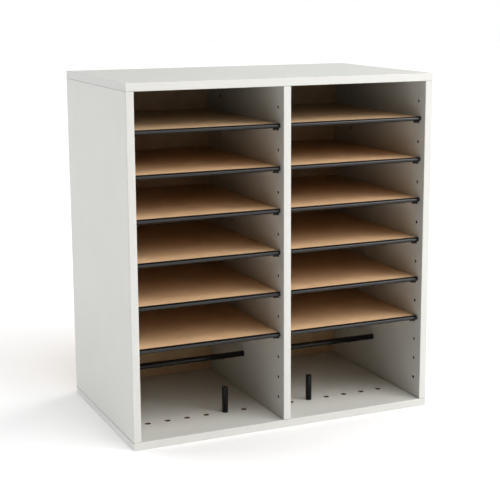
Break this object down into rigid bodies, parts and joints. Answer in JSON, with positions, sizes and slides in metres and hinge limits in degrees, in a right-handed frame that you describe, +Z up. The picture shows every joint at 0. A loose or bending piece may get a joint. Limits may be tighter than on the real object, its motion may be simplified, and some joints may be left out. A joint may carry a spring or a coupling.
{
  "type": "literature organizer",
  "caption": "Open front literature organizer: laminated cabinet with loose edged shelves on movable pins, and a cross rod and a lift-out peg in each lowest compartment.",
  "frame": {"origin": "middle of the underside, on the surface that the cabinet stands on", "axes": "+X to the right seen from the open front, the front faces -Y, +Z up"},
  "size_m": [0.496, 0.303, 0.536],
  "materials": {
    "white_laminate": "satin melamine on particle board",
    "shelf_hardboard": "smooth pressed hardboard",
    "back_hardboard": "smooth pressed hardboard",
    "black_moulding": "satin extruded vinyl",
    "black_pin": "satin moulded",
    "black_rod": "satin black paint on hardwood dowel",
    "dowel_wood": "raw beech",
    "nail_steel": "bright"
  },
  "bodies": {
    "cabinet": {"top_board": "white_laminate", "bottom_board": "white_laminate", "left_side_board": "white_laminate", "right_side_board": "white_laminate", "centre_divider": "white_laminate", "back_panel": "back_hardboard", "back_panel_nails": "nail_steel", "bottom_dowels": "dowel_wood", "top_dowels": "dowel_wood", "left_cross_rod": "black_rod", "right_cross_rod": "black_rod", "left_shelf_1_pins": "black_pin", "left_shelf_2_pins": "black_pin", "left_shelf_3_pins": "black_pin", "left_shelf_4_pins": "black_pin", "left_shelf_5_pins": "black_pin", "left_shelf_6_pins": "black_pin", "right_shelf_1_pins": "black_pin", "right_shelf_2_pins": "black_pin", "right_shelf_3_pins": "black_pin", "right_shelf_4_pins": "black_pin", "right_shelf_5_pins": "black_pin", "right_shelf_6_pins": "black_pin"},
    "left_shelf_1": {"left_shelf_1_board": "shelf_hardboard", "left_shelf_1_moulding": "black_moulding"},
    "left_shelf_2": {"left_shelf_2_board": "shelf_hardboard", "left_shelf_2_moulding": "black_moulding"},
    "left_shelf_3": {"left_shelf_3_board": "shelf_hardboard", "left_shelf_3_moulding": "black_moulding"},
    "left_shelf_4": {"left_shelf_4_board": "shelf_hardboard", "left_shelf_4_moulding": "black_moulding"},
    "left_shelf_5": {"left_shelf_5_board": "shelf_hardboard", "left_shelf_5_moulding": "black_moulding"},
    "left_shelf_6": {"left_shelf_6_board": "shelf_hardboard", "left_shelf_6_moulding": "black_moulding"},
    "left_peg": {"left_peg": "black_rod"},
    "right_shelf_1": {"right_shelf_1_board": "shelf_hardboard", "right_shelf_1_moulding": "black_moulding"},
    "right_shelf_2": {"right_shelf_2_board": "shelf_hardboard", "right_shelf_2_moulding": "black_moulding"},
    "right_shelf_3": {"right_shelf_3_board": "shelf_hardboard", "right_shelf_3_moulding": "black_moulding"},
    "right_shelf_4": {"right_shelf_4_board": "shelf_hardboard", "right_shelf_4_moulding": "black_moulding"},
    "right_shelf_5": {"right_shelf_5_board": "shelf_hardboard", "right_shelf_5_moulding": "black_moulding"},
    "right_shelf_6": {"right_shelf_6_board": "shelf_hardboard", "right_shelf_6_moulding": "black_moulding"},
    "right_peg": {"right_peg": "black_rod"}
  },
  "joints": [
    {"name": "left_shelf_1_slide", "type": "slide", "parent": "cabinet", "child": "left_shelf_1", "axis": [0, -1, 0], "range_m": [0, 0.05]},
    {"name": "left_shelf_2_slide", "type": "slide", "parent": "cabinet", "child": "left_shelf_2", "axis": [0, -1, 0], "range_m": [0, 0.05]},
    {"name": "left_shelf_3_slide", "type": "slide", "parent": "cabinet", "child": "left_shelf_3", "axis": [0, -1, 0], "range_m": [0, 0.05]},
    {"name": "left_shelf_4_slide", "type": "slide", "parent": "cabinet", "child": "left_shelf_4", "axis": [0, -1, 0], "range_m": [0, 0.05]},
    {"name": "left_shelf_5_slide", "type": "slide", "parent": "cabinet", "child": "left_shelf_5", "axis": [0, -1, 0], "range_m": [0, 0.05]},
    {"name": "left_shelf_6_slide", "type": "slide", "parent": "cabinet", "child": "left_shelf_6", "axis": [0, -1, 0], "range_m": [0, 0.05]},
    {"name": "left_peg_lift", "type": "slide", "parent": "cabinet", "child": "left_peg", "axis": [0, 0, 1], "range_m": [0, 0.009]},
    {"name": "right_shelf_1_slide", "type": "slide", "parent": "cabinet", "child": "right_shelf_1", "axis": [0, -1, 0], "range_m": [0, 0.05]},
    {"name": "right_shelf_2_slide", "type": "slide", "parent": "cabinet", "child": "right_shelf_2", "axis": [0, -1, 0], "range_m": [0, 0.05]},
    {"name": "right_shelf_3_slide", "type": "slide", "parent": "cabinet", "child": "right_shelf_3", "axis": [0, -1, 0], "range_m": [0, 0.05]},
    {"name": "right_shelf_4_slide", "type": "slide", "parent": "cabinet", "child": "right_shelf_4", "axis": [0, -1, 0], "range_m": [0, 0.05]},
    {"name": "right_shelf_5_slide", "type": "slide", "parent": "cabinet", "child": "right_shelf_5", "axis": [0, -1, 0], "range_m": [0, 0.05]},
    {"name": "right_shelf_6_slide", "type": "slide", "parent": "cabinet", "child": "right_shelf_6", "axis": [0, -1, 0], "range_m": [0, 0.05]},
    {"name": "right_peg_lift", "type": "slide", "parent": "cabinet", "child": "right_peg", "axis": [0, 0, 1], "range_m": [0, 0.009]}
  ]
}
